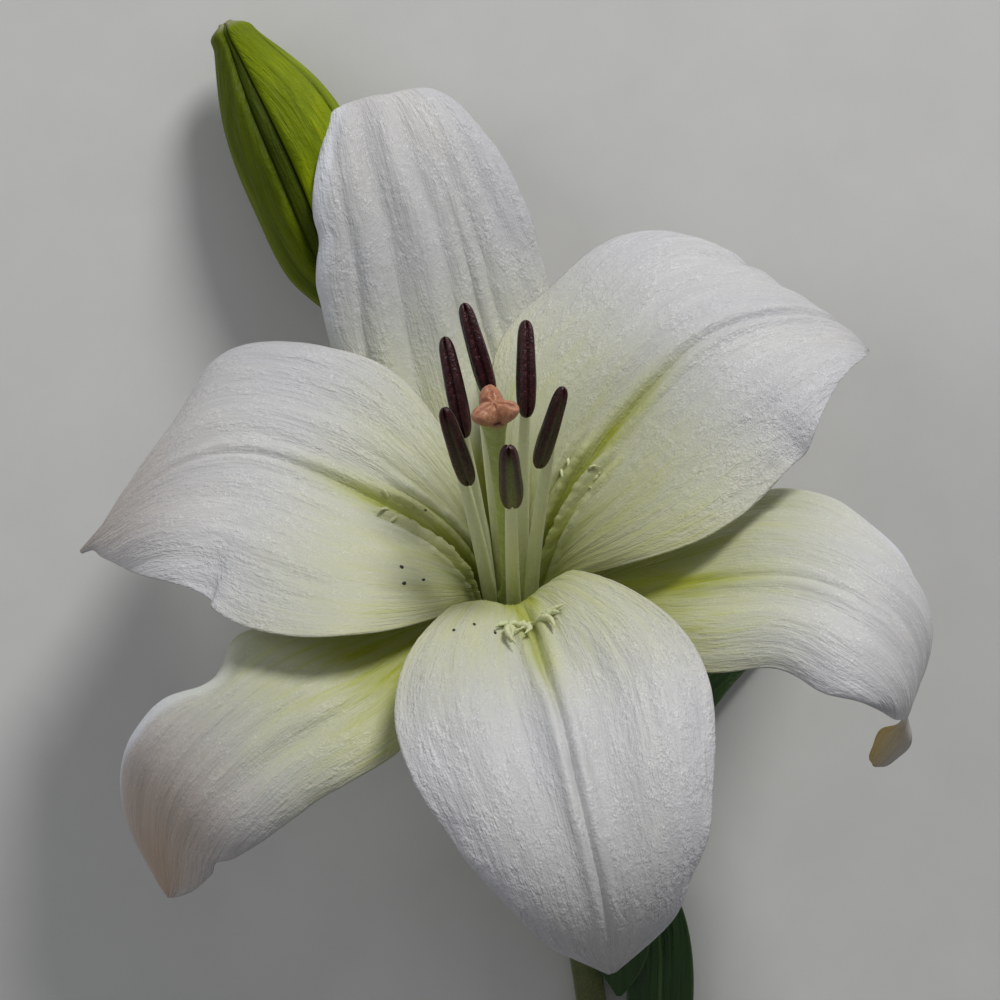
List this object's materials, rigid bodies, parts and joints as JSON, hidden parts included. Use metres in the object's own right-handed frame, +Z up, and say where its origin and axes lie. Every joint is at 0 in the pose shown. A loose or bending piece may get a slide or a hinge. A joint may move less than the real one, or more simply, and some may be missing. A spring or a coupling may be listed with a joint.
{
  "type": "cut lily stem",
  "caption": "Cut stem of a white lily lying on its side, with an open trumpet flower, stamens, a pistil, a closed green bud and narrow leaves.",
  "frame": {"origin": "middle of the bounding box's floor, on the surface that the stem lies on", "axes": "+Y from the cut end of the stem towards the bud's tip, +Z up from the surface, +X to the right seen from above"},
  "size_m": [0.2082, 0.361, 0.1363],
  "materials": {
    "petal": "satin",
    "filament": "satin",
    "anther": "matte",
    "pistil": "satin",
    "stem": "satin",
    "bud": "satin",
    "leaf": "satin"
  },
  "bodies": {
    "root": {"petal_left": "petal", "petal_right": "petal", "petal_front": "petal", "sepal_back": "petal", "sepal_left": "petal", "sepal_right": "petal", "filament_1": "filament", "filament_2": "filament", "filament_3": "filament", "filament_4": "filament", "filament_5": "filament", "filament_6": "filament", "anther_1": "anther", "anther_2": "anther", "anther_3": "anther", "anther_4": "anther", "anther_5": "anther", "anther_6": "anther", "pistil": "pistil", "stem": "stem", "flower_stalk": "stem", "bud_stalk": "stem", "bud_sepal_1": "bud", "bud_sepal_2": "bud", "bud_sepal_3": "bud", "bud_petal_1": "bud", "bud_petal_2": "bud", "bud_petal_3": "bud", "leaf_1": "leaf", "leaf_2": "leaf", "leaf_3": "leaf", "leaf_4": "leaf", "leaf_5": "leaf"}
  },
  "joints": []
}
